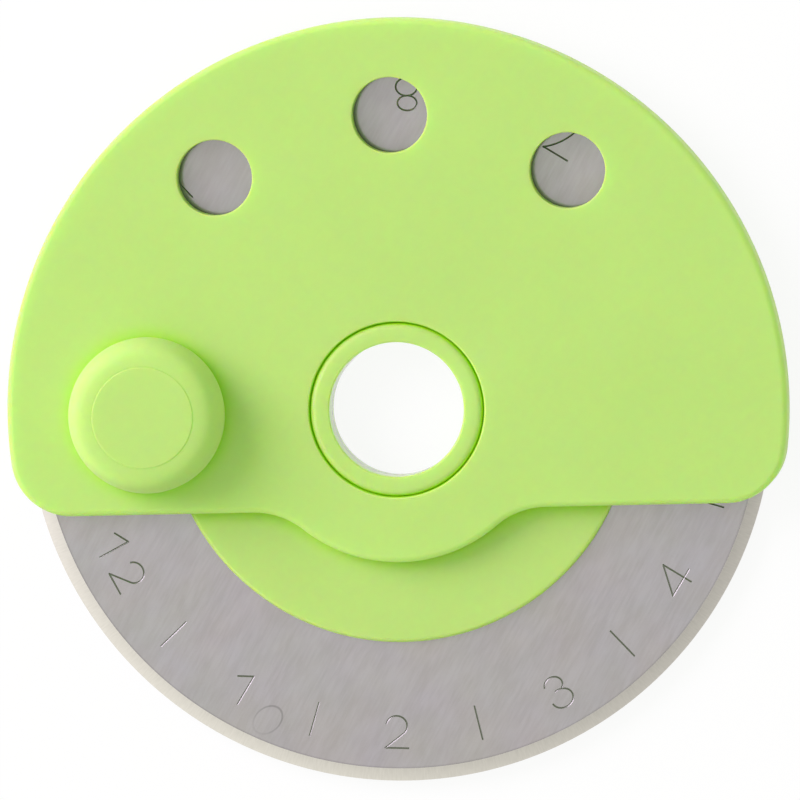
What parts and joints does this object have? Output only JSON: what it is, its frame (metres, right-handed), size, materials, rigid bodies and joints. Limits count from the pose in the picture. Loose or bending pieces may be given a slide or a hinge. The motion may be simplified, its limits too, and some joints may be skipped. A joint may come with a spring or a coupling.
{
  "type": "guarded rotary cutter blade",
  "caption": "Circular cutting blade clamped in a plastic hub, with a half-round guard that turns around the hub by its thumb knob.",
  "frame": {"origin": "centre of the outline's box, on the surface that the rear flange rests on; the hub axis stands 0.5 mm from it along -Y", "axes": "+Z along the hub axis, out of the guard's front; +Y towards the windows; +X away from the thumb knob"},
  "size_m": [0.047, 0.046, 0.0072],
  "materials": {
    "blade_steel": "brushed faces, ground bevel, fine engraved numbers and ticks",
    "hub_plastic": "satin moulded ABS, lime green",
    "guard_plastic": "satin moulded ABS, lime green"
  },
  "bodies": {
    "blade_hub": {"blade": "blade_steel", "rear_flange": "hub_plastic", "front_hub": "hub_plastic", "retaining_ring": "hub_plastic"},
    "guard": {"guard": "guard_plastic", "thumb_knob": "guard_plastic"}
  },
  "joints": [
    {"name": "guard_turn", "type": "hinge", "parent": "blade_hub", "child": "guard", "pos_m": [0, -0.0005, 0], "axis": [0, 0, 1], "continuous": true}
  ]
}
